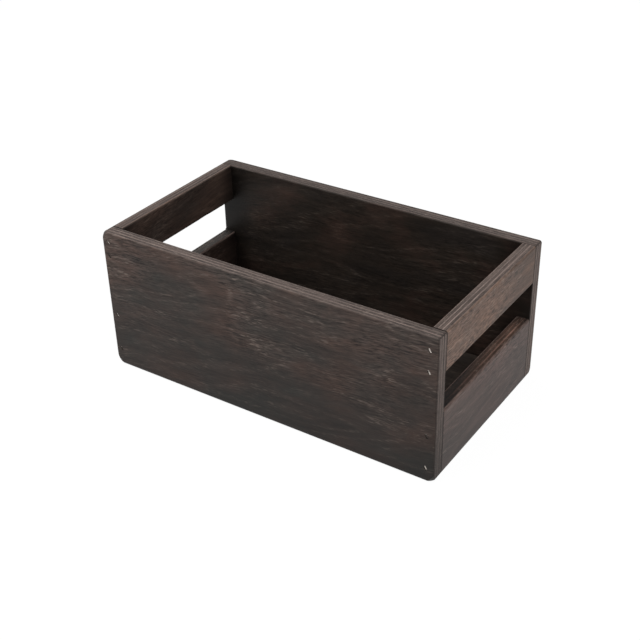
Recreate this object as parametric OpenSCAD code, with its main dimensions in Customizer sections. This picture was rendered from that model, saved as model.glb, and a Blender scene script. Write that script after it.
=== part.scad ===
// Open-topped organizer box of stained seven-ply birch plywood.
// Two long boards cover the edges of the end boards. Each end is an upper rail and a lower panel
// with a full-width hand slot between them. The floor sits in a groove, and sunk T-headed brads
// hold the corners.
// The origin is at the middle of the footprint, +X runs along the length and +Z points up.

/* [Box] */
// Length over the two end faces
box_l = 260; // [200:5:360]
// Width over the two long boards
box_w = 142.5; // [110:2.5:220]
// Height of the long boards
box_h = 107; // [94:0.5:150]
// Thickness of the plywood boards
board_t = 10; // [9.5:0.5:12]

/* [Hand slots] */
// Height of the upper rail at each end
rail_h = 28.8; // [20:0.1:32]
// Height of the open slot under each rail
slot_h = 27.4; // [22:0.1:32]
// Radius of the rails' and panels' edges that the fingers touch
slot_r = 1.8; // [0.6:0.1:2]
// Radius of the long boards' edges at the ends of the left slot
slot_end_r_left = 1.8; // [0.6:0.1:2]
// Radius of the long boards' edges at the ends of the right slot
slot_end_r_right = 0.6; // [0.6:0.1:2]
// Depth of the shallow hollow in the left rail's lower edge
hollow_d = 1; // [0.4:0.1:1.5]

/* [Sanded corners] */
// Radius of the lower corners at the left end
foot_r_left = 8; // [3:0.5:8]
// Radius of the lower corners at the right end
foot_r_right = 4; // [2:0.5:8]
// Radius of the lower outer edges, along the long boards
foot_edge_r = 2.3; // [1:0.1:4]
// Radius of the upper corners at the left end
top_r_left = 3; // [1:0.25:4]
// Radius of the upper corners at the right end
top_r_right = 1.5; // [0.8:0.1:4]
// Radius of the other outer edges
edge_r = 1.2; // [0.4:0.1:1.4]
// Reach of the ball-sanded lower corners, along each edge
foot_ball = 8; // [4:0.5:9]
// Reach of the ball-sanded upper corners at the left end
top_ball_left = 6; // [2:0.5:7]
// Reach of the ball-sanded upper corners at the right end
top_ball_right = 2; // [2:0.5:7]
// Radius of the edges that meet at a butt joint
joint_r = 0.4; // [0.2:0.05:0.5]

/* [Floor] */
// Thickness of the floor panel
floor_t = 4; // [3:0.5:5]
// Height of the floor's underside over the table
floor_lift = 4; // [3.5:0.5:6]
// Air between the floor and the groove that it slides into
floor_play = 0.2; // [0.1:0.05:0.4]

/* [Brads] */
// Length of a brad from the head to the point
brad_l = 30; // [22:1:38]
// Long side of the T-shaped head
head_l = 3.2; // [2.4:0.1:3.4]
// Thickness of the head
head_t = 0.9; // [0.6:0.1:1.2]
// Width of the wire, which is the short side of the head
wire_w = 1.4; // [1:0.1:1.6]
// Depth of the wire along the long side of the head
wire_d = 1.6; // [1.2:0.1:1.8]
// How far the head is sunk under the face
sink = 0.5; // [0.2:0.1:0.8]
// Turn of the head away from upright, as seen from outside
head_turn = 30; // [0:1:45]

/* [Hidden] */
$fn = 48;
panel_h = box_h - rail_h - slot_h;
inner_l = box_l - 2 * board_t;
inner_w = box_w - 2 * board_t;
groove_d = 0.28 * board_t;
groove_h = floor_t + floor_play;
floor_l = inner_l + 2 * (groove_d - floor_play);
floor_w = inner_w + 2 * (groove_d - floor_play);
// The chisel point of a brad, and the air round its wire
point_l = 2.5;
brad_air = 0.05;
// Overshoot of a cut past the face that it opens
past = 1;
// What a ball-sanded corner leaves on the sanded edges that run into it
ball_skin = 0.02;
// Length and place along Y of the hollow in the left rail
hollow_l = 20;
hollow_y = 26;
// Places of the brads at the two ends of a long board. The inset is a share of the board's
// thickness from the end face, and the heights are shares of the rail's and the panel's own.
left_inset = 0.51;
left_rail_shares = [0.38, 0.74];
left_panel_shares = [0.27, 0.82];
right_inset = 0.59;
right_rail_shares = [0.13, 0.66];
right_panel_shares = [0.21, 0.69];
ply_brown = [0.25, 0.21, 0.19];
rail_brown = [0.31, 0.27, 0.24];
floor_brown = [0.17, 0.13, 0.11];
steel = [0.72, 0.72, 0.73];

// Rounded outlines

// What a round of radius r takes off the corner at the origin
module corner_waste(r) {
    difference() {
        translate([-past, -past]) square(r + past);
        translate([r, r]) circle(r);
    }
}

// A rectangle w by h from the origin, with one radius for each corner
module sanded_rect(w, h, low_left, low_right, high_right, high_left) {
    difference() {
        square([w, h]);
        corner_waste(low_left);
        translate([w, 0]) mirror([1, 0]) corner_waste(low_right);
        translate([w, h]) rotate(180) corner_waste(high_right);
        translate([0, h]) mirror([0, 1]) corner_waste(high_left);
    }
}

// Stands an X-Z outline up and gives it a depth from y = 0 towards +Y
module stand_along_y(depth) {
    translate([0, depth, 0]) rotate([90, 0, 0]) linear_extrude(depth) children();
}

// Stands a Y-Z outline up and gives it a length from x = 0 towards +X
module stand_along_x(length) {
    rotate([90, 0, 90]) linear_extrude(length) children();
}

// What a ball takes off a corner at the origin. It fades out into edges of radius edge_r at reach.
module ball_waste(reach) {
    ball_r = sqrt(2) * (reach - edge_r) + edge_r + ball_skin;
    difference() {
        translate([-past, -past, -past]) cube(reach + past);
        translate([reach, reach, reach]) sphere(ball_r);
    }
}

// Brads

// Side view of a brad: the long side of the head lies along X, and the point looks along -Y.
// air widens the outline, and rise carries its head end outwards.
function brad_outline(air, rise) = [
    [-head_l / 2 - air, rise],
    [head_l / 2 + air, rise],
    [head_l / 2 + air, -head_t - air],
    [wire_d / 2 + air, -head_t - air],
    [wire_d / 2 + air, point_l - brad_l],
    [0, -brad_l - air],
    [-wire_d / 2 - air, point_l - brad_l],
    [-wire_d / 2 - air, -head_t - air],
    [-head_l / 2 - air, -head_t - air]
];

// A brad driven towards +Y, with the top of its head at the origin
module driven(air, rise) {
    rotate([0, -head_turn, 0])
        rotate([180, 90, 0])
            linear_extrude(wire_w + 2 * air, center = true)
                polygon(brad_outline(air, rise));
}

// Places one child at each brad of the front board, on the sunk plane of the heads
module at_front_brads() {
    end_sets = [
        [-1, left_inset, left_rail_shares, left_panel_shares],
        [1, right_inset, right_rail_shares, right_panel_shares]
    ];
    for (end = end_sets) {
        x = end[0] * (box_l / 2 - end[1] * board_t);
        for (share = end[2])
            translate([x, sink - box_w / 2, box_h - rail_h + share * rail_h]) children();
        for (share = end[3])
            translate([x, sink - box_w / 2, share * panel_h]) children();
    }
}

module front_brad_holes() {
    at_front_brads() driven(brad_air, sink + past);
}

// The box is nailed again from behind, turned half round on the bench
module back_brad_holes() {
    rotate([0, 0, 180]) front_brad_holes();
}

// Long boards

// A long board with its outer face at y = 0 and sanded edges all round
module long_board_outline() {
    intersection() {
        translate([-box_l / 2, 0, 0])
            stand_along_y(board_t)
                sanded_rect(box_l, box_h, foot_r_left, foot_r_right, top_r_right, top_r_left);
        translate([-box_l / 2, 0, -past])
            linear_extrude(box_h + 2 * past)
                sanded_rect(box_l, board_t, edge_r, edge_r, joint_r, joint_r);
        translate([-box_l / 2 - past, 0, 0])
            stand_along_x(box_l + 2 * past)
                sanded_rect(board_t, box_h, foot_edge_r, edge_r, edge_r, edge_r);
    }
}

// What is sanded off a long board at its left end: the two outer corners, the upper one as far as
// top_ball reaches, and to slot_end_r the inner edge where the hand slot leaves it bare
module end_waste(top_ball, slot_end_r) {
    translate([-box_l / 2, 0, 0]) {
        ball_waste(foot_ball);
        translate([0, 0, box_h]) mirror([0, 0, 1]) ball_waste(top_ball);
        translate([0, board_t, panel_h])
            linear_extrude(slot_h) mirror([0, 1]) corner_waste(slot_end_r);
    }
}

// A long board before the floor groove and the nailing
module long_board_blank() {
    difference() {
        long_board_outline();
        end_waste(top_ball_left, slot_end_r_left);
        mirror([1, 0, 0]) end_waste(top_ball_right, slot_end_r_right);
    }
}

// Space for the floor, let into all four walls and stopped behind the end boards
module floor_groove() {
    translate([0, 0, floor_lift + groove_h / 2])
        cube([inner_l + 2 * groove_d, inner_w + 2 * groove_d, groove_h], center = true);
}

module front_board() {
    color(ply_brown)
        difference() {
            translate([0, -box_w / 2, 0]) long_board_blank();
            floor_groove();
            front_brad_holes();
        }
}

module back_board() {
    color(ply_brown)
        difference() {
            translate([0, box_w / 2, 0]) mirror([0, 1, 0]) long_board_blank();
            floor_groove();
            back_brad_holes();
        }
}

// End boards

// An end board that stands between the long boards, with its outer face at x = 0 and its body
// towards +X. Its upright edges are only broken, because they butt against the long boards.
module end_board_blank(height, low_outer, low_inner, high_inner, high_outer) {
    translate([0, -inner_w / 2, 0])
        intersection() {
            stand_along_y(inner_w)
                sanded_rect(board_t, height, low_outer, low_inner, high_inner, high_outer);
            translate([0, 0, -past])
                linear_extrude(height + 2 * past)
                    sanded_rect(board_t, inner_w, joint_r, joint_r, joint_r, joint_r);
        }
}

// Puts an end board's outer face on the left end face of the box
module on_left_end() {
    translate([-box_l / 2, 0, 0]) children();
}

module on_right_end() {
    translate([box_l / 2, 0, 0]) mirror([1, 0, 0]) children();
}

module rail_blank(top_r) {
    translate([0, 0, box_h - rail_h]) end_board_blank(rail_h, slot_r, slot_r, edge_r, top_r);
}

module panel_blank(foot_r) {
    end_board_blank(panel_h, foot_r, edge_r, slot_r, slot_r);
}

// A long shallow arc along the rail's lower edge
module rail_hollow() {
    hollow_r = (pow(hollow_l / 2, 2) + pow(hollow_d, 2)) / (2 * hollow_d);
    translate([-box_l / 2 - past, hollow_y, box_h - rail_h + hollow_d - hollow_r])
        rotate([0, 90, 0])
            cylinder(r = hollow_r, h = board_t + 2 * past, $fn = 180);
}

module left_rail() {
    color(rail_brown)
        difference() {
            on_left_end() rail_blank(top_r_left);
            rail_hollow();
            front_brad_holes();
            back_brad_holes();
        }
}

module right_rail() {
    color(rail_brown)
        difference() {
            on_right_end() rail_blank(top_r_right);
            front_brad_holes();
            back_brad_holes();
        }
}

module left_panel() {
    color(rail_brown)
        difference() {
            on_left_end() panel_blank(foot_r_left);
            floor_groove();
            front_brad_holes();
            back_brad_holes();
        }
}

module right_panel() {
    color(rail_brown)
        difference() {
            on_right_end() panel_blank(foot_r_right);
            floor_groove();
            front_brad_holes();
            back_brad_holes();
        }
}

// Floor

// The floor rests on the lower side of the groove and clears its bottom all round
module floor_panel() {
    color(floor_brown)
        translate([-floor_l / 2, -floor_w / 2, floor_lift])
            linear_extrude(floor_t)
                sanded_rect(floor_l, floor_w, joint_r, joint_r, joint_r, joint_r);
}

// Nailing

module front_brads() {
    color(steel) at_front_brads() driven(0, 0);
}

module back_brads() {
    color(steel) rotate([0, 0, 180]) at_front_brads() driven(0, 0);
}

front_board();
back_board();
left_rail();
right_rail();
left_panel();
right_panel();
floor_panel();
front_brads();
back_brads();
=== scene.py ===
# %% [markdown]
# The wooden organizer box
# The real thing is an open box of dark stained birch plywood. Its boards come out of a CAD model that
# already has the true outlines, the sanded corners and the nail holes, so Blender doesn't shape them
# again. This notebook gives them their finish, makes the nails that hold them, and lights and frames
# the box the way a product photograph does. Lengths are in metres unless a name ends in mm.

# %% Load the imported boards
import math

import bpy
from mathutils import Matrix, Quaternion, Vector


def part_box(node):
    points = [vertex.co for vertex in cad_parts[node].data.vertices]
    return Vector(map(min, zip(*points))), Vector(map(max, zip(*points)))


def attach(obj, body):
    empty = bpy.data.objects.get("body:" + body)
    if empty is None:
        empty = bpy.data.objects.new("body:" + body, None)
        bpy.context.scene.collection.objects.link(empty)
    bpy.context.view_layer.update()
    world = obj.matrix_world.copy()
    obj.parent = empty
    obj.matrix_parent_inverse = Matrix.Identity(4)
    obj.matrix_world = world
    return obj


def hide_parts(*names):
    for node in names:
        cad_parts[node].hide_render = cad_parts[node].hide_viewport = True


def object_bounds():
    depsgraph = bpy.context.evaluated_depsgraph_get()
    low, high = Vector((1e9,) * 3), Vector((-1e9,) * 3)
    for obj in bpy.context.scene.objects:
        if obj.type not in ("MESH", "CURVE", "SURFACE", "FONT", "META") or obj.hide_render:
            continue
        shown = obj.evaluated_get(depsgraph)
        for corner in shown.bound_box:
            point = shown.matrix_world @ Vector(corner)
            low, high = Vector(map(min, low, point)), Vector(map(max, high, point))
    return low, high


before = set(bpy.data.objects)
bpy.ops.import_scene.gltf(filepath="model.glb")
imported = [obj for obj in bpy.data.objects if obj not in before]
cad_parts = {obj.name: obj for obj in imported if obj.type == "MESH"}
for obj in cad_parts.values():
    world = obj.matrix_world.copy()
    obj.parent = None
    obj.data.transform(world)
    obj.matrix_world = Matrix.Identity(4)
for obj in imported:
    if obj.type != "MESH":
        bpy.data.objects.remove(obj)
cad_low, cad_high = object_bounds()
bpy.ops.object.select_all(action="DESELECT")
box_size = cad_high - cad_low
print("boards:", sorted(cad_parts))
print("box:", [round(1000 * side, 1) for side in box_size], "mm")

# %% [markdown]
# Camera
# The photograph looks down on the front board and the right-hand end. A camera can be turned by hand
# until the picture agrees, but here the angles were worked out from the straight edges of the box, so
# they are typed in. The camera looks back along one direction, is rolled a little, and is centred on a
# point just below the middle of the box, because the box sits a little high in the picture.

# %% Camera
AZIMUTH = math.radians(34.15)
ELEVATION = math.radians(31.72)
ROLL = math.radians(1.33)
DISTANCE = 0.7866
PICTURE_DROP = 0.0111
LENS_MM = 63.75
SENSOR_MM = 36.0

camera_data = bpy.data.cameras.new("camera")
camera_data.sensor_width = SENSOR_MM
camera_data.lens = LENS_MM
camera_data.clip_start = 0.01
camera_data.clip_end = 50.0
camera = bpy.data.objects.new("camera", camera_data)
bpy.context.scene.collection.objects.link(camera)

towards_camera = Vector((
    math.sin(AZIMUTH) * math.cos(ELEVATION),
    -math.cos(AZIMUTH) * math.cos(ELEVATION),
    math.sin(ELEVATION),
))
turn = (-towards_camera).to_track_quat("-Z", "Y") @ Quaternion((0, 0, 1), -ROLL)
middle = (cad_low + cad_high) / 2
camera.rotation_mode = "QUATERNION"
camera.rotation_quaternion = turn
camera.location = middle + towards_camera * DISTANCE - turn @ Vector((0, PICTURE_DROP, 0))
bpy.context.scene.camera = camera
print("camera at", [round(value, 3) for value in camera.location])

# %% [markdown]
# Adding nodes
# Every material below is a tree of nodes. Writing each node with its settings and links takes four or
# five lines, so one small function does it. An input may be a number, a colour or another node, and a
# node passes on its first output that is in use. The settings that come back again and again get short
# names. Colours are written as hex values, as a colour picker shows them, and one function turns them
# into the linear values that a shader works in.

# %% Helpers for materials
TIMES = {"operation": "MULTIPLY"}
PLUS = {"operation": "ADD"}
MINUS = {"operation": "SUBTRACT"}
TIMES_PLUS = {"operation": "MULTIPLY_ADD"}
LARGER = {"operation": "MAXIMUM"}
SMOOTH = {"interpolation_type": "SMOOTHSTEP"}
OF_NUMBERS = {"data_type": "FLOAT"}
OF_COLOURS = {"data_type": "RGBA"}
TINTED = {"data_type": "RGBA", "blend_type": "MULTIPLY"}


def linear(hex_colour):
    """An sRGB hex colour such as "3f3630" as a linear RGBA tuple."""
    channels = [int(hex_colour[i:i + 2], 16) / 255 for i in (0, 2, 4)]
    return tuple(c / 12.92 if c <= 0.04045 else ((c + 0.055) / 1.055) ** 2.4 for c in channels) + (1.0,)


def add(tree, kind, settings=None, inputs=None):
    """Adds one shader node with its settings, and sets or links its inputs."""
    node = tree.nodes.new("ShaderNode" + kind)
    for name, value in (settings or {}).items():
        setattr(node, name, value)
    sockets = [socket for socket in node.inputs if socket.enabled]
    for key, value in (inputs or {}).items():
        socket = sockets[key] if isinstance(key, int) else next(s for s in sockets if s.name == key)
        if isinstance(value, bpy.types.Node):
            value = next(output for output in value.outputs if output.enabled)
        if isinstance(value, bpy.types.NodeSocket):
            tree.links.new(value, socket)
        else:
            socket.default_value = value
    return node


def new_material(name):
    """An empty material, its tree and its output node."""
    material = bpy.data.materials.new(name)
    material.use_nodes = True
    material.node_tree.nodes.clear()
    return material, material.node_tree, add(material.node_tree, "OutputMaterial")


# %% [markdown]
# Table
# The box was photographed on a white ground under large soft lamps. A white floor would need a lot of
# light to come out white, and that light would wash out the dark stain. So the floor is a matt grey
# paint that adds some of its own white for the camera alone, and keeps a faint shadow of the box. It
# is seen through from below, so that a view of the underside isn't blocked.

# %% Floor
FLOOR_SIDE = 12.0
FLOOR_PAINT = "8c8c8c"
SHADOW_SHARE = 0.30
FLOOR_GLOW = 1.36
WHITE = (1, 1, 1, 1)

bpy.ops.mesh.primitive_plane_add(size=FLOOR_SIDE, location=(0, 0, 0))
floor = bpy.context.active_object
floor.name = "floor"
white_floor, tree, output = new_material("matt_white_table")
path = add(tree, "LightPath")
seen = add(tree, "Math", LARGER, {0: path.outputs["Is Camera Ray"], 1: path.outputs["Is Glossy Ray"]})
paint = add(tree, "BsdfDiffuse", {}, {"Color": linear(FLOOR_PAINT), "Roughness": 0.0})
glow = add(tree, "Emission", {}, {"Color": WHITE, "Strength": FLOOR_GLOW})
glow_share = add(tree, "Math", TIMES, {0: seen, 1: 1 - SHADOW_SHARE})
top_side = add(tree, "MixShader", {}, {0: glow_share, 1: paint, 2: glow})
clear = add(tree, "BsdfTransparent")
geometry = add(tree, "NewGeometry")
both_sides = add(tree, "MixShader", {}, {0: geometry.outputs["Backfacing"], 1: top_side, 2: clear})
tree.links.new(both_sides.outputs[0], output.inputs["Surface"])
floor.data.materials.append(white_floor)
print("table:", floor.dimensions.x, "m wide, glow share", round(1 - SHADOW_SHARE, 2))

# %% [markdown]
# Room and lamps
# The room is white all round. What the camera sees directly, in a mirror or through glass is pure
# white, and the light that the room sends onto the box is weaker, so that its faces keep their own
# colours. One large softbox stands beyond the right-hand end and another high on the left, which makes
# the end lighter than the front, as in the photograph.

# %% World and lamps
ROOM_STRENGTH = 0.45

world = bpy.data.worlds.new("white_room")
bpy.context.scene.world = world
world.use_nodes = True
world.node_tree.nodes.clear()
path = add(world.node_tree, "LightPath")
seen = add(world.node_tree, "Math", LARGER, {
    0: path.outputs["Is Camera Ray"], 1: path.outputs["Is Glossy Ray"],
})
seen = add(world.node_tree, "Math", LARGER, {0: seen, 1: path.outputs["Is Transmission Ray"]})
room = add(world.node_tree, "Background", {}, {"Color": WHITE, "Strength": ROOM_STRENGTH})
backdrop = add(world.node_tree, "Background", {}, {"Color": WHITE, "Strength": 1.0})
sky = add(world.node_tree, "MixShader", {}, {0: seen, 1: room, 2: backdrop})
world_output = add(world.node_tree, "OutputWorld")
world.node_tree.links.new(sky.outputs[0], world_output.inputs["Surface"])


def softbox(name, place, size, watts):
    """A square area lamp that faces the middle of the box."""
    lamp = bpy.data.lights.new(name, "AREA")
    lamp.size = size
    lamp.energy = watts
    holder = bpy.data.objects.new(name, lamp)
    holder.location = place
    holder.rotation_mode = "QUATERNION"
    holder.rotation_quaternion = (middle - Vector(place)).to_track_quat("-Z", "Y")
    bpy.context.scene.collection.objects.link(holder)
    print("lamp:", name, watts, "W from", round((middle - Vector(place)).length, 2), "m")


softbox("key_softbox", place=(1.1, -0.35, 1.0), size=0.9, watts=9.0)
softbox("top_softbox", place=(-0.6, -0.5, 1.3), size=1.2, watts=8.0)
bpy.context.scene.view_settings.view_transform = "Standard"

# %% [markdown]
# Stained birch plywood
# The boards are seven-ply birch, sanded and wiped with a dark brown oil stain. Plywood could be drawn
# as a picture on each face, but the stripes on its edges would then have to be lined up by hand. It is
# simpler to describe the sheet as a solid. The position is first turned into the sheet's own
# directions: u along the grain of the face, v across it, and w into the thickness. Every later step
# reads that position in millimetres, so its numbers can be taken from a real board with a ruler.

# %% Plywood, sheet directions
PLIES = 7
BOARD_MM = 10.0


def sheet_directions(tree, u, v, w, outer_face_mm):
    """Position in millimetres and normal, both turned to the sheet's own u, v and w."""
    turned = Matrix((u, v, w)).to_euler()
    coordinate = add(tree, "TexCoord")
    place = add(tree, "Mapping", {"vector_type": "POINT"}, {
        "Vector": coordinate.outputs["Object"],
        "Location": (0, 0, -outer_face_mm),
        "Rotation": turned,
        "Scale": (1000, 1000, 1000),
    })
    facing = add(tree, "Mapping", {"vector_type": "NORMAL"}, {
        "Vector": coordinate.outputs["Normal"],
        "Rotation": turned,
    })
    return place, facing


# %% [markdown]
# Streaks
# Wood is full of streaks of many sizes, from fibres less than a millimetre wide to clouds of stain as
# broad as a hand. All of them are noise, stretched along the grain, so one function makes them, from
# the length and width that they have on the board. Noise keeps mostly near its middle, a half, so the
# values between which it is spread out decide how much of the board a streak covers.

# %% Plywood, streaks
def streaks(tree, place, size_mm, detail, spread, low=0.0, high=1.0):
    """Noise with blotches of size_mm along u, v and w. Its values in spread go to low and high."""
    scale = tuple(1 / side for side in size_mm)
    scaled = add(tree, "Mapping", {}, {"Vector": place, "Scale": scale})
    noise = add(tree, "TexNoise", {}, {"Vector": scaled, "Scale": 1.0, "Detail": detail, "Roughness": 0.6})
    return add(tree, "MapRange", {}, {
        "Value": noise, "From Min": spread[0], "From Max": spread[1], "To Min": low, "To Max": high,
    })


# %% [markdown]
# Plies and glue lines
# The depth w gives the ply that a point lies in, and the ply gives the grain direction, which changes
# by a quarter turn from ply to ply. Where the surface cuts a ply across its grain, the stain soaks in
# and it is dark, and where it runs along the grain it stays lighter. Between two plies is a thin dark
# glue line. That draws the stripes, and turns them round on the ends, as on the real box. Real plies
# aren't quite flat, so the depth wavers by half a millimetre along the board.

# %% Plywood, plies
WAVER_MM = 0.5
SKIN_MM = 0.02


def ply_layers(tree, place, facing, thickness_mm, plies):
    """What the plies show at a point: their number, long grain, glue line and the inner veneer."""
    waver = add(tree, "TexNoise", {}, {"Vector": place, "Scale": 0.03, "Detail": 1.0})
    depth = add(tree, "SeparateXYZ", {}, {"Vector": place})
    depth = add(tree, "Math", TIMES_PLUS, {0: waver, 1: WAVER_MM, 2: depth.outputs["Z"]})
    outermost, innermost = WAVER_MM / 2 + SKIN_MM, thickness_mm + WAVER_MM / 2 - SKIN_MM
    depth = add(tree, "Clamp", {}, {"Value": depth, "Min": outermost, "Max": innermost})
    layers = add(tree, "Math", MINUS, {0: depth, 1: WAVER_MM / 2})
    layers = add(tree, "Math", TIMES, {0: layers, 1: plies / thickness_mm})
    number = add(tree, "Math", {"operation": "FLOOR"}, {0: layers})
    crossed = add(tree, "Math", {"operation": "MODULO"}, {0: number, 1: 2.0})
    faces = add(tree, "VectorMath", {"operation": "ABSOLUTE"}, {0: facing})
    faces = add(tree, "SeparateXYZ", {}, {"Vector": faces})
    cut = add(tree, "Mix", OF_NUMBERS, {"Factor": crossed, "A": faces.outputs["X"], "B": faces.outputs["Y"]})
    along = add(tree, "MapRange", SMOOTH, {"Value": cut, "From Min": 0.85, "From Max": 0.25})
    from_glue = add(tree, "Math", {"operation": "PINGPONG"}, {0: layers, 1: 0.5})
    middle_of_ply = add(tree, "MapRange", SMOOTH, {"Value": from_glue, "From Min": 0.02, "From Max": 0.36})
    glue = add(tree, "MapRange", SMOOTH, {"Value": from_glue, "From Min": 0.11, "From Max": 0.02})
    inside = add(tree, "MapRange", {}, {"Value": layers, "From Min": plies - 0.6, "From Max": plies - 0.1})
    long_grain = add(tree, "Math", TIMES, {0: along, 1: middle_of_ply})
    return {"number": number, "long_grain": long_grain, "glue": glue, "inside": inside}


# %% [markdown]
# Faces, edges and arrises
# The sheet also has to know what it is looking at: a broad face with veneer, a cut edge with stripes,
# or an arris, the rounded corner between two of them. The normal tells that. It points straight along
# w on a face, along u on the ends of the board, and along none of the three on a rounded arris.

# %% Plywood, sides
def sheet_sides(tree, facing):
    """How much a point belongs to a face, a rounded arris, the arris of an end, and an end."""
    faces = add(tree, "VectorMath", {"operation": "ABSOLUTE"}, {0: facing})
    faces = add(tree, "SeparateXYZ", {}, {"Vector": faces})
    on_face = add(tree, "MapRange", SMOOTH, {"Value": faces.outputs["Z"], "From Min": 0.15, "From Max": 0.5})
    squarest = add(tree, "Math", LARGER, {0: faces.outputs["X"], 1: faces.outputs["Y"]})
    squarest = add(tree, "Math", LARGER, {0: squarest, 1: faces.outputs["Z"]})
    rounded = add(tree, "MapRange", SMOOTH, {"Value": squarest, "From Min": 0.98, "From Max": 0.78})
    end_arris = add(tree, "MapRange", SMOOTH, {"Value": faces.outputs["X"], "From Min": 0.15, "From Max": 0.5})
    end_arris = add(tree, "Math", TIMES, {0: end_arris, 1: rounded})
    end_cut = add(tree, "MapRange", SMOOTH, {"Value": faces.outputs["X"], "From Min": 0.6, "From Max": 0.95})
    return {"on_face": on_face, "rounded": rounded, "end_arris": end_arris, "end_cut": end_cut}


# %% [markdown]
# Growth rings
# Birch veneer is peeled off the log, so its growth rings are cut at a grazing angle and wander over the
# board as wavy contour lines. They could be painted, but the contour lines of a smooth hill look just
# the same. So a broad, slow noise is counted up to sixteen, and goes to and fro once for every two.

# %% Plywood, growth rings
RING_HILL_MM = (170, 26, 30)
RING_COUNT = 16.0


def growth_rings(tree, flow):
    """1 on a growth ring and 0 between two of them."""
    hill = streaks(tree, flow, RING_HILL_MM, 1.0, (0.0, 1.0), high=RING_COUNT)
    to_and_fro = add(tree, "Math", {"operation": "PINGPONG"}, {0: hill, 1: 1.0})
    return add(tree, "MapRange", SMOOTH, {"Value": to_and_fro, "From Min": 0.45, "From Max": 1.0})


# %% [markdown]
# Face veneer
# Stain is darker where the wood is open, brown in some clouds and greyer in others, and blotchy where
# it was wiped off unevenly. Sanding raised the fibres in patches, and there short bare dashes catch the
# light. These are layers of the same streaks. Slow noise bends all of them alike, and they lean a few
# degrees on the long boards, because a board is seldom sawn true to its grain. Real birch fibres are a
# tenth of a millimetre wide, too fine for the picture, so they are drawn seven times as wide.

# %% Plywood, face veneer
FIBRE_MM = (7, 0.75, 3)
DASH_MM = (6, 0.85, 3)
MOTTLE_MM = (3, 2, 4)
BAND_MM = (45, 5, 30)
CLOUD_MM = (55, 26, 30)
RAISED_PATCH_MM = (60, 34, 30)
BEND_LENGTH_MM = 75
BEND_MM = (20, 9, 0)
EVEN = (0.3, 0.7)
BASE_SHADE = 0.67
FIBRE_SHADE, FIBRE_MIDDLE = 1.45, 0.65
RING_SHADE = 0.26
BAND_SHADE = 0.45
DASH_ON_RING, DASH_OFF_RING = 0.9, 0.15
MOST_LIGHT = 1.2


def veneer(tree, place, seed, lean, stains, flecks, raised, mottling, light):
    """Colour of a stained veneer, and the height of its fibres. lean is the angle of the grain to the
    board, stains are three hex colours, flecks a hex colour and a share, raised the least and most
    that the fibres stand out, mottling how blotchy they are, and light a factor on it all."""
    moved = add(tree, "Mapping", {}, {"Vector": place, "Location": seed, "Rotation": (0, 0, lean)})
    bend = add(tree, "TexNoise", {}, {"Vector": moved, "Scale": 1 / BEND_LENGTH_MM, "Detail": 2.0})
    flow = add(tree, "VectorMath", TIMES_PLUS, {0: bend.outputs["Color"], 1: BEND_MM, 2: moved})
    rings = growth_rings(tree, flow)

    # Where the fibres are raised they show more, and a darker part of the board shows less of them
    patches = streaks(tree, moved, RAISED_PATCH_MM, 2.0, (0.42, 0.6), *raised)
    more_light = add(tree, "Math", TIMES, {0: light, 1: light})
    more_light = add(tree, "Clamp", {}, {"Value": more_light, "Min": 0.0, "Max": MOST_LIGHT})
    patches = add(tree, "Math", TIMES, {0: patches, 1: more_light})

    fibre = streaks(tree, flow, FIBRE_MM, 3.0, EVEN)
    mottle = streaks(tree, moved, MOTTLE_MM, 4.0, EVEN, -mottling, mottling)
    band = streaks(tree, flow, BAND_MM, 3.0, EVEN)
    shade = add(tree, "Math", TIMES_PLUS, {0: fibre, 1: FIBRE_SHADE, 2: -FIBRE_MIDDLE})
    shade = add(tree, "Math", PLUS, {0: shade, 1: mottle})
    shade = add(tree, "Math", TIMES_PLUS, {0: shade, 1: patches, 2: BASE_SHADE})
    shade = add(tree, "Math", TIMES_PLUS, {0: rings, 1: RING_SHADE, 2: shade})
    shade = add(tree, "Math", TIMES_PLUS, {0: band, 1: BAND_SHADE, 2: shade})
    shade = add(tree, "Math", TIMES, {0: shade, 1: light})

    cloud = streaks(tree, flow, CLOUD_MM, 3.0, (0.33, 0.67))
    stain = add(tree, "ValToRGB", {}, {"Fac": cloud})
    stain.color_ramp.elements.new(0.5)
    for element, position, colour in zip(stain.color_ramp.elements, (0.0, 0.5, 1.0), stains):
        element.position = position
        element.color = linear(colour)
    tinted = add(tree, "Mix", TINTED, {"Factor": 1.0, "A": stain, "B": shade})

    # The bare dashes lie in the raised patches, and mostly along the growth rings
    fleck_colour, fleck_share = flecks
    dashes = streaks(tree, flow, DASH_MM, 1.0, (0.54, 0.70), high=fleck_share)
    near_ring = add(tree, "Math", TIMES_PLUS, {0: rings, 1: DASH_ON_RING, 2: DASH_OFF_RING})
    dashes = add(tree, "Math", TIMES, {0: dashes, 1: near_ring})
    dashes = add(tree, "Math", TIMES, {0: dashes, 1: patches})
    colour = add(tree, "Mix", OF_COLOURS, {"Factor": dashes, "A": tinted, "B": linear(fleck_colour)})
    height = add(tree, "Math", TIMES, {0: fibre, 1: patches})
    return colour, height


# %% [markdown]
# Cut edges
# Round the faces run the ply stripes. The saw and the sander broke them into fine streaks along the
# board, and smeared them here and there, so a slow noise fades the stripes in some places. Each ply
# took the stain a little differently, open pores are dark dots, and small nicks are bare. The end faces
# of a board are drawn a third lighter, as painted light for the lamp that shines on the right-hand end,
# and near a joint the edges are darkened as painted shade. The streaks are a third of a millimetre
# apart, and the pores, which are a tenth of a millimetre in the wood, are drawn coarser so that they
# show at all.

# %% Plywood, cut edges
SAW_STREAK_MM = (14, 14, 0.36)
PORE_MM = (1.2, 1.2, 0.5)
CLEAR_STRIPE_MM = (24, 24, 3)
NICK_MM = (4, 4, 0.6)
GLUE_LINE = "2a221e"
GLUE_SHARE = 0.6
EDGE_SHADE = 0.12
SAW_SHADE = 0.9
PORE_SHADE = 0.55
PLY_SHADE = 0.3
LIT_END_SHARE = 0.35
NICK_SHARE = 0.7


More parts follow.
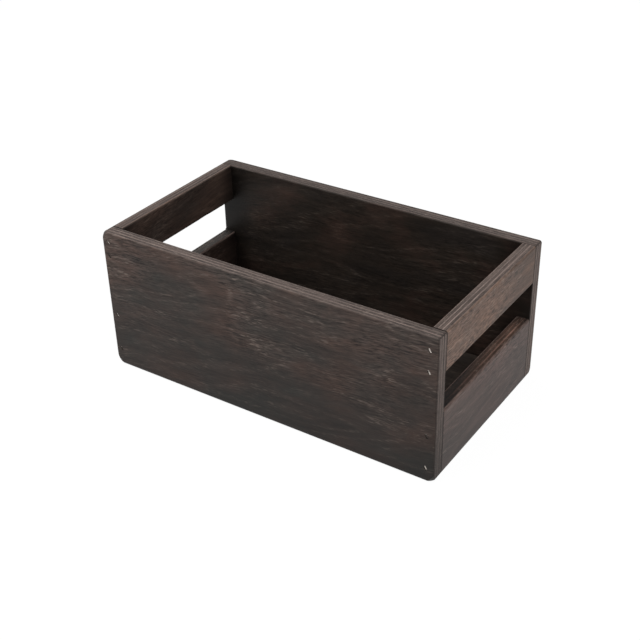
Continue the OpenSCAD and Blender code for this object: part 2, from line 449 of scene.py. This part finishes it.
def cut_edge(tree, place, layer, side, edges, flecks, light, joint_shade):
    """Colour of a cut edge, its saw streaks and its pores. edges are the hex colours of the light and
    the dark stripes. The two factors on them are a slope of uneven stain and painted light and shade,
    and the painted shade near a joint."""
    saw = streaks(tree, place, SAW_STREAK_MM, 3.0, EVEN)
    pores = streaks(tree, place, PORE_MM, 2.0, EVEN)
    clear = streaks(tree, place, CLEAR_STRIPE_MM, 2.0, (0.35, 0.6), low=0.3)
    stripe = add(tree, "Mix", OF_NUMBERS, {"Factor": clear, "A": 0.5, "B": layer["long_grain"]})
    colour = add(tree, "Mix", OF_COLOURS, {"Factor": stripe, "A": linear(edges[1]), "B": linear(edges[0])})

    own_shade = add(tree, "TexWhiteNoise", {"noise_dimensions": "1D"}, {"W": layer["number"]})
    # Painted light: the end faces of a board are drawn a third lighter
    lit_end = add(tree, "Math", TIMES_PLUS, {0: side["end_cut"], 1: LIT_END_SHARE, 2: 1.0})
    shade = add(tree, "Math", TIMES_PLUS, {0: saw, 1: SAW_SHADE, 2: EDGE_SHADE})
    shade = add(tree, "Math", TIMES_PLUS, {0: pores, 1: PORE_SHADE, 2: shade})
    shade = add(tree, "Math", TIMES_PLUS, {0: own_shade.outputs["Value"], 1: PLY_SHADE, 2: shade})
    # The last factor is painted shade near a joint
    for factor in (lit_end, light, joint_shade):
        shade = add(tree, "Math", TIMES, {0: shade, 1: factor})
    colour = add(tree, "Mix", TINTED, {"Factor": 1.0, "A": colour, "B": shade})

    fleck_colour, fleck_share = flecks
    nicks = streaks(tree, place, NICK_MM, 2.0, (0.56, 0.72), high=NICK_SHARE * fleck_share)
    nicks = add(tree, "Math", TIMES, {0: nicks, 1: light})
    colour = add(tree, "Mix", OF_COLOURS, {"Factor": nicks, "A": colour, "B": linear(fleck_colour)})
    glue = add(tree, "Math", TIMES, {0: layer["glue"], 1: clear})
    glue = add(tree, "Math", TIMES, {0: glue, 1: GLUE_SHARE})
    colour = add(tree, "Mix", OF_COLOURS, {"Factor": glue, "A": colour, "B": linear(GLUE_LINE)})
    return colour, saw, pores


# %% [markdown]
# Wear and joints
# Hands rub the arrises paler, most where the saw left them proud. The arrises of the ends are darker:
# stain soaks into their end grain, and the rest is painted shade on their rounding. Stain also collects
# in the line where two boards meet. All are laid over the colours of faces and edges alike, and the
# joint is a dark line half a millimetre wide.

# %% Plywood, wear and joints
ARRIS_WEAR = "8a7c74"
# The darkest stain, used for the joints and as painted shade on the arrises of the ends
STAIN_AND_SHADE_DARK = "171310"
WORN_SHARE = 0.3
SOAKED_AND_SHADED_SHARE = 0.6
JOINT_SHARE = 0.7
JOINT_LINE_MM = (0.7, 0.2)


def wear_and_joints(tree, colour, side, saw, joint_shade, along_mm, joint_mm):
    """The colour with its rubbed arrises, its end arrises darkened by stain and painted shade, and its dark
    joints.
    """
    worn = add(tree, "MapRange", {}, {"Value": saw, "From Min": 0.45, "From Max": 1.0, "To Max": WORN_SHARE})
    worn = add(tree, "Math", TIMES, {0: worn, 1: side["rounded"]})
    # Where painted shade darkens the edges near a joint, the wear is held back too
    worn = add(tree, "Math", TIMES, {0: worn, 1: joint_shade})
    colour = add(tree, "Mix", OF_COLOURS, {"Factor": worn, "A": colour, "B": linear(ARRIS_WEAR)})
    # The arrises of the ends darken: stain soaked into the end grain, and painted shade on their rounding
    soaked_and_shaded = add(tree, "Math", TIMES, {0: side["end_arris"], 1: SOAKED_AND_SHADED_SHARE})
    colour = add(tree, "Mix", OF_COLOURS, {"Factor": soaked_and_shaded, "A": colour, "B": linear(STAIN_AND_SHADE_DARK)})
    joint = add(tree, "MapRange", SMOOTH, {
        "Value": along_mm, "From Min": joint_mm - JOINT_LINE_MM[0], "From Max": joint_mm - JOINT_LINE_MM[1],
        "To Max": JOINT_SHARE,
    })
    return add(tree, "Mix", OF_COLOURS, {"Factor": joint, "A": colour, "B": linear(STAIN_AND_SHADE_DARK)})


# %% [markdown]
# Uneven stain, with painted light and shade
# One wipe of stain never comes out even: a board is lighter towards one end or one edge. The same slopes
# also carry painted light and shade: the front board darkens towards its lower right and its cut edges
# towards the foot, and the top of the right panel is lighter on its outer half and darker on its inner
# half, down in the slot. A slope along each direction is enough for that. It is a factor on the
# colour, and it is 1 at the board's middle.

# %% Plywood, slopes
def leaning(tree, place, slope, middle_mm):
    """A factor that is 1 at middle_mm and changes by slope for each millimetre."""
    offset = add(tree, "VectorMath", MINUS, {0: place, 1: middle_mm})
    rise = add(tree, "VectorMath", {"operation": "DOT_PRODUCT"}, {0: offset, 1: slope})
    return add(tree, "Math", PLUS, {0: rise.outputs["Value"], 1: 1.0})


# %% [markdown]
# The whole sheet
# The outer and the inner face each get their own veneer, since the box was stained more heavily inside.
# Its inner faces darken further over the last 20 millimetres before each inner corner, as painted shade,
# and the edges of the panels' tops darken near the long boards, as painted shade too. The cut edges go
# between the two faces, and the wear goes over all. The oil has dried almost matt, with a weak, broad
# sheen: its IOR is that of a drying oil, and the edges are rougher than the faces. A bump of a tenth of
# a millimetre lets the fibres catch the light.

# %% Plywood, whole sheet
CORNER_SHADE_MM = 20.0
CORNER_LIGHT = 0.4
JOINT_SHADE_LIGHT = 0.2
INNER_FLECKS = 0.35
INNER_RAISED = (0.3, 0.8)
INNER_SEED_SHIFT = 37
NO_JOINT_MM = 1000.0
EDGE_LIGHT = (0.14, 2.0)
EDGE_ROUGH, FACE_ROUGH = 0.62, 0.5
DRYING_OIL_IOR = 1.47
GRAIN_HEIGHT = 0.0001


def stained_plywood(name, axes, outer_face_mm, middle_mm, seed, outside, inside, edges, flecks, corner_mm,
                    raised=(0.35, 1.0), mottling=0.15, lean=0.0, face_slope=(0, 0, 0), edge_slope=(0, 0, 0),
                    joint_mm=NO_JOINT_MM, joint_shade_mm=0.1, thickness_mm=BOARD_MM, plies=PLIES):
    """A stained birch plywood sheet. outside and inside are three hex stains, edges the light and the
    dark of the stripes. corner_mm is how far along u from the middle its inner corners are, where the
    inner face is darkened as painted shade, and joint_mm how far it butts on another sheet, near which
    its edges are darkened as painted shade. face_slope and edge_slope are slopes of uneven stain and
    painted light and shade."""
    material, tree, output = new_material(name)
    place, facing = sheet_directions(tree, *axes, outer_face_mm)
    layer = ply_layers(tree, place, facing, thickness_mm, plies)
    side = sheet_sides(tree, facing)
    along_mm = add(tree, "SeparateXYZ", {}, {"Vector": place})
    along_mm = add(tree, "Math", {"operation": "ABSOLUTE"}, {0: along_mm.outputs["X"]})

    out_light = leaning(tree, place, face_slope, middle_mm)
    out_colour, out_height = veneer(tree, place, seed, lean, outside, flecks, raised, mottling, out_light)
    in_seed = tuple(value + INNER_SEED_SHIFT for value in seed)
    in_flecks = (flecks[0], INNER_FLECKS * flecks[1])
    # Painted shade: the inner face darkens to 0.4 of its colour over the last 20 mm before an inner corner
    in_light = add(tree, "MapRange", SMOOTH, {
        "Value": along_mm, "From Min": corner_mm - CORNER_SHADE_MM, "From Max": corner_mm,
        "To Min": 1.0, "To Max": CORNER_LIGHT,
    })
    in_colour, in_height = veneer(
        tree, place, in_seed, lean, inside, in_flecks, INNER_RAISED, mottling, in_light)
    face = add(tree, "Mix", OF_COLOURS, {"Factor": layer["inside"], "A": out_colour, "B": in_colour})

    edge_light = leaning(tree, place, edge_slope, middle_mm)
    edge_light = add(tree, "Clamp", {}, {"Value": edge_light, "Min": EDGE_LIGHT[0], "Max": EDGE_LIGHT[1]})
    # Painted shade near a joint: a panel's cut edges darken to a fifth over the last 14 to 22 mm before a long
    # board
    joint_shade = add(tree, "MapRange", SMOOTH, {
        "Value": along_mm, "From Min": joint_mm - joint_shade_mm, "From Max": joint_mm,
        "To Min": 1.0, "To Max": JOINT_SHADE_LIGHT,
    })
    edge, saw, pores = cut_edge(tree, place, layer, side, edges, flecks, edge_light, joint_shade)
    colour = add(tree, "Mix", OF_COLOURS, {"Factor": side["on_face"], "A": edge, "B": face})
    colour = wear_and_joints(tree, colour, side, saw, joint_shade, along_mm, joint_mm)

    height = add(tree, "Mix", OF_NUMBERS, {"Factor": layer["inside"], "A": out_height, "B": in_height})
    edge_height = add(tree, "Math", MINUS, {0: pores, 1: layer["glue"]})
    height = add(tree, "Mix", OF_NUMBERS, {"Factor": side["on_face"], "A": edge_height, "B": height})
    rough = add(tree, "MapRange", {}, {"Value": side["on_face"], "To Min": EDGE_ROUGH, "To Max": FACE_ROUGH})
    bump = add(tree, "Bump", {}, {"Height": height, "Strength": 0.7, "Distance": GRAIN_HEIGHT})
    shader = add(tree, "BsdfPrincipled", {}, {
        "Base Color": colour, "Roughness": rough, "IOR": DRYING_OIL_IOR, "Specular IOR Level": 0.2,
        "Normal": bump,
    })
    tree.links.new(shader.outputs[0], output.inputs["Surface"])
    return material


# %% [markdown]
# Colours of the stain
# Each set of three is one coat of stain, from its darkest cloud to its lightest. The long boards came
# out darkest and the rails lightest. The inner face of the left panel is near black, as painted shade.
# The edges have a pair, for the long grain and the cross grain. The tops of the two panels, down in the
# slots, are painted darker than the rails' tops for the shade there, and the top of the right panel is
# browner. Flecks are bare, sanded wood, with the share of their full colour that they reach.

# %% Stain colours
FRONT_STAIN = ("393633", "433a36", "4d3e38")
RAIL_STAIN = ("54463f", "604c41", "6d5446")
PANEL_STAIN = ("4b3f3a", "52433e", "5b4842")
INSIDE_STAIN = ("2a2522", "2f2823", "3e302a")
RAIL_INSIDE_STAIN = ("322a26", "372c27", "43352e")
# Painted shade: the left panel's inner face is stained near black for the shade that lies on it
SHADED_INSIDE_STAIN = ("1b1715", "201815", "291f1b")
LONG_EDGE = ("685b55", "39312e")
END_EDGE = ("81716a", "463b36")
# Painted shade: the panels' tops lie down in the slots and are drawn darker than the rails' tops
RIGHT_SLOT_EDGE_SHADED = ("6a5046", "382a22")
LEFT_SLOT_EDGE_SHADED = ("46413d", "383330")
FLECKS = ("9a8b81", 0.6)
END_FLECKS = ("a39185", 0.5)

# %% [markdown]
# Seven boards
# Each board has its own piece of the sheet, so its own seed, and its own stain, because one coat never
# takes alike on two boards. What the two long boards or the four end boards share is written once. The
# front board is darker towards its lower right, partly from its stain and partly as painted shade, and
# the right panel's slopes are painted light and shade. The boards' shapes come from the CAD model as
# they are, and only their material slots are filled.

# %% Boards
X, Y, Z = Vector((1, 0, 0)), Vector((0, 1, 0)), Vector((0, 0, 1))
front_axes, back_axes = (X, -Z, Y), (X, Z, -Y)
left_axes, right_axes = (Y, Z, X), (Y, -Z, -X)

half_length_mm = 1000 * cad_high.x
half_width_mm = 1000 * cad_high.y
half_height_mm = 500 * (cad_low.z + cad_high.z)
inner_length_mm = half_length_mm - BOARD_MM
inner_width_mm = half_width_mm - BOARD_MM
floor_bottom_mm = 1000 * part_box("floor_panel")[0].z

long_board = {
    "outer_face_mm": -half_width_mm, "outside": FRONT_STAIN, "inside": INSIDE_STAIN, "edges": LONG_EDGE,
    "flecks": FLECKS, "corner_mm": inner_length_mm,
}
end_board = {
    "outer_face_mm": -half_length_mm, "flecks": END_FLECKS, "corner_mm": inner_width_mm,
    "joint_mm": inner_width_mm,
}
rail = {"outside": RAIL_STAIN, "inside": RAIL_INSIDE_STAIN, "edges": END_EDGE, "mottling": 0.35}
floor_sheet = {**long_board, "outer_face_mm": floor_bottom_mm, "thickness_mm": 4.0, "plies": 3}

finishes = {
    # The front board's slopes are partly painted shade: face and cut edges darken towards the lower right
    "front_board": stained_plywood(
        "stained_birch_ply_front", front_axes, middle_mm=(0, -half_height_mm, 0), seed=(110, 42, 53),
        lean=math.radians(5), face_slope=(-0.0008, -0.0065, 0), edge_slope=(-0.0018, -0.0085, 0), **long_board),
    "back_board": stained_plywood(
        "stained_birch_ply_back", back_axes, middle_mm=(0, half_height_mm, 0), seed=(90, 40, 5),
        lean=math.radians(-4), edge_slope=(0.0015, 0.001, 0), **long_board),
    "left_rail": stained_plywood(
        "stained_birch_ply_left_rail", left_axes, middle_mm=(0, half_height_mm, 0), seed=(20, 10, 9),
        edge_slope=(0, -0.0025, 0), **rail, **end_board),
    "right_rail": stained_plywood(
        "stained_birch_ply_right_rail", right_axes, middle_mm=(0, -half_height_mm, 0), seed=(70, 60, 3),
        raised=(0.5, 1.2), face_slope=(-0.0035, 0, 0), **rail, **end_board),
    # The left panel's inner face and its top edge are painted darker for the shade they lie in
    "left_panel": stained_plywood(
        "stained_birch_ply_left_panel", left_axes, middle_mm=(0, half_height_mm, 0), seed=(130, 20, 1),
        outside=PANEL_STAIN, inside=SHADED_INSIDE_STAIN, edges=LEFT_SLOT_EDGE_SHADED, mottling=0.35, joint_shade_mm=14.0,
        **end_board),
    # The right panel's slopes are painted light and shade: the top of its slot is lighter outside, darker
    # inside
    "right_panel": stained_plywood(
        "stained_birch_ply_right_panel", right_axes, middle_mm=(0, -half_height_mm, 0), seed=(160, 30, 7),
        outside=PANEL_STAIN, inside=INSIDE_STAIN, edges=RIGHT_SLOT_EDGE_SHADED, mottling=0.3, joint_shade_mm=22.0,
        face_slope=(0.001, -0.009, 0), edge_slope=(0.013, 0, -0.075), **end_board),
    "floor_panel": stained_plywood(
        "stained_birch_ply_floor", (X, Y, Z), middle_mm=(0, 0, 0), seed=(200, 0, 0), **floor_sheet),
}
for node_name, finish in finishes.items():
    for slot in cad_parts[node_name].material_slots:
        slot.material = finish
print("finished boards:", len(finishes))

# %% [markdown]
# Nails
# The corners are held by T-headed brads, which a nail gun cuts off a strip of galvanized wire and sinks
# half a millimetre under the face. The CAD model has them as plain prisms. Here one is made again as by
# hand, with the soft edges, the mark of the driver and the chisel point of the real thing. It starts
# as a length of wire, is cut twice, and its two sides are drawn out into the head.

# %% One brad
BRAD_MM = 30.0
WIRE_MM = (1.4, 1.6)
HEAD_MM = (3.2, 0.9)
POINT_MM = 2.5
MM = 0.001


def select_faces(mesh_object, chosen):
    """Selects the faces for which chosen(centre in mm, normal) is true, in edit mode."""
    bpy.ops.mesh.select_mode(type="FACE")
    bpy.ops.mesh.select_all(action="DESELECT")
    bpy.ops.object.mode_set(mode="OBJECT")
    for face in mesh_object.data.polygons:
        face.select = chosen(face.center / MM, face.normal)
    bpy.ops.object.mode_set(mode="EDIT")


bpy.ops.object.select_all(action="DESELECT")
bpy.ops.mesh.primitive_cube_add(
    size=1, location=(0, BRAD_MM / 2 * MM, 0), scale=(WIRE_MM[0] * MM, BRAD_MM * MM, WIRE_MM[1] * MM))
bpy.ops.object.transform_apply(location=True, rotation=True, scale=True)
brad = bpy.context.active_object
bpy.ops.object.mode_set(mode="EDIT")
for cut_mm in (HEAD_MM[1], BRAD_MM - POINT_MM):
    bpy.ops.mesh.select_all(action="SELECT")
    bpy.ops.mesh.bisect(plane_co=(0, cut_mm * MM, 0), plane_no=(0, 1, 0))
for side in (-1, 1):
    select_faces(brad, lambda centre, normal: centre.y < HEAD_MM[1] and normal.z * side > 0.9)
    bpy.ops.mesh.extrude_region_move(
        TRANSFORM_OT_translate={"value": (0, 0, side * (HEAD_MM[0] - WIRE_MM[1]) / 2 * MM)})
select_faces(brad, lambda centre, normal: normal.y > 0.9 and centre.y > BRAD_MM - 0.1)
bpy.ops.transform.resize(value=(1, 1, 0))
bpy.ops.mesh.select_all(action="SELECT")
bpy.ops.mesh.remove_doubles(threshold=0.00001)

# %% [markdown]
# The driver's mark
# The driver strikes the head with a blunt blade and leaves a shallow hollow with a raised rim. An inset
# makes the rim, and the face inside it is pushed down. A bevel then softens every edge of the head, so
# that each brad has a line of light on it, which is what one sees of it from a step away.

# %% One brad, finished
RIM_MM = 0.32
MARK_DEPTH_MM = 0.14
SOFT_EDGE_MM = 0.12

select_faces(brad, lambda centre, normal: normal.y < -0.9 and centre.y < 0.1)
bpy.ops.mesh.dissolve_faces()
bpy.ops.mesh.inset(thickness=RIM_MM * MM)
bpy.ops.transform.translate(value=(0, MARK_DEPTH_MM * MM, 0))
bpy.ops.object.mode_set(mode="OBJECT")
soften = brad.modifiers.new("soften", "BEVEL")
soften.width = SOFT_EDGE_MM * MM
soften.segments = 3
soften.limit_method = "ANGLE"
bpy.ops.object.modifier_apply(modifier="soften")
bpy.ops.object.shade_smooth_by_angle(angle=math.radians(35))
print("one brad:", [round(side / MM, 2) for side in brad.dimensions], "mm,", len(brad.data.polygons), "faces")

# %% [markdown]
# Sixteen brads
# The places come from the CAD nodes: the outermost corners of a brad are the four of its head, and
# their middle is where the new head goes. The heads lean by 30 degrees because the gun was held
# askew. The back was nailed the same way, with the box turned half round.

# %% All the brads
HEAD_LEAN = math.radians(30)
CORNERS_OF_HEAD = 4
SAME_PLANE = 1e-5


def head_places(node_name, side):
    """The middles of the brad heads of a node, whose outer faces look along side * Y."""
    points = [vertex.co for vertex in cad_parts[node_name].data.vertices]
    outermost = max(side * point.y for point in points)
    points = [point for point in points if side * point.y > outermost - SAME_PLANE]
    corners = {tuple(round(value, 6) for value in point) for point in points}
    corners = sorted(corners, key=lambda corner: (corner[0] > 0, corner[2]))
    heads = [corners[i:i + CORNERS_OF_HEAD] for i in range(0, len(corners), CORNERS_OF_HEAD)]
    return [sum((Vector(corner) for corner in head), Vector()) / len(head) for head in heads]


def nail_row(node_name, side, half_turn):
    """Copies of the brad at the places of one node, joined into one piece that replaces it."""
    askew = Matrix.Rotation(half_turn, 4, "Z") @ Matrix.Rotation(-HEAD_LEAN, 4, "Y")
    copies = []
    for place in head_places(node_name, side):
        bpy.ops.object.select_all(action="DESELECT")
        brad.select_set(True)
        bpy.context.view_layer.objects.active = brad
        bpy.ops.object.duplicate(linked=False)
        copy = bpy.context.active_object
        copy.matrix_world = Matrix.Translation(place) @ askew
        bpy.ops.object.transform_apply(location=True, rotation=True, scale=True)
        copies.append(copy)
    bpy.ops.object.select_all(action="DESELECT")
    for copy in copies:
        copy.select_set(True)
    bpy.context.view_layer.objects.active = copies[0]
    bpy.ops.object.join()
    row = bpy.context.active_object
    row.name = node_name + "_forged"
    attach(row, "root")
    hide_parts(node_name)
    print(row.name, "has", len(copies), "brads and", len(row.data.polygons), "faces")
    return row


front_nails = nail_row("front_brads", -1, 0.0)
back_nails = nail_row("back_brads", 1, math.pi)
bpy.data.objects.remove(brad)

# %% [markdown]
# Galvanized wire
# Zinc is a pale, slightly blue metal with a dull sheen. The box was stained after it was nailed, so most
# of each head has a film of brown stain, which warms the zinc, and only the rubbed parts shine. A share
# between the two shaders stands for the film. The noise that drives it is a little wider than a head,
# so it differs from head to head, and it is moved until the heads that shine are the photograph's. The
# spangle of the zinc is finer than a third of a millimetre and is drawn that coarse.

# %% Galvanized wire
ZINC = "cfc6be"
STAIN_FILM = "3a302a"
FILM_MM = (3.4, 3.4, 3.4)
FILM_MOVED_MM = (112, 292, 383)
SPANGLE_MM = (0.3, 0.3, 0.3)

galvanized, tree, output = new_material("galvanized_wire")
coordinate = add(tree, "TexCoord")
place = add(tree, "Mapping", {}, {
    "Vector": coordinate.outputs["Object"], "Scale": (1000, 1000, 1000), "Location": FILM_MOVED_MM,
})
film = streaks(tree, place, FILM_MM, 2.0, (0.46, 0.54))
spangle = streaks(tree, place, SPANGLE_MM, 2.0, EVEN, low=0.28, high=0.5)
zinc = add(tree, "BsdfPrincipled", {}, {"Base Color": linear(ZINC), "Metallic": 1.0, "Roughness": spangle})
stain = add(tree, "BsdfPrincipled", {}, {
    "Base Color": linear(STAIN_FILM), "Roughness": 0.45, "IOR": DRYING_OIL_IOR,
})
shader = add(tree, "MixShader", {}, {0: film, 1: zinc, 2: stain})
tree.links.new(shader.outputs[0], output.inputs["Surface"])
for row in (front_nails, back_nails):
    row.data.materials.clear()
    row.data.materials.append(galvanized)
for node_name in ("front_brads", "back_brads"):
    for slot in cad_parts[node_name].material_slots:
        slot.material = galvanized
print("materials:", len(bpy.data.materials))
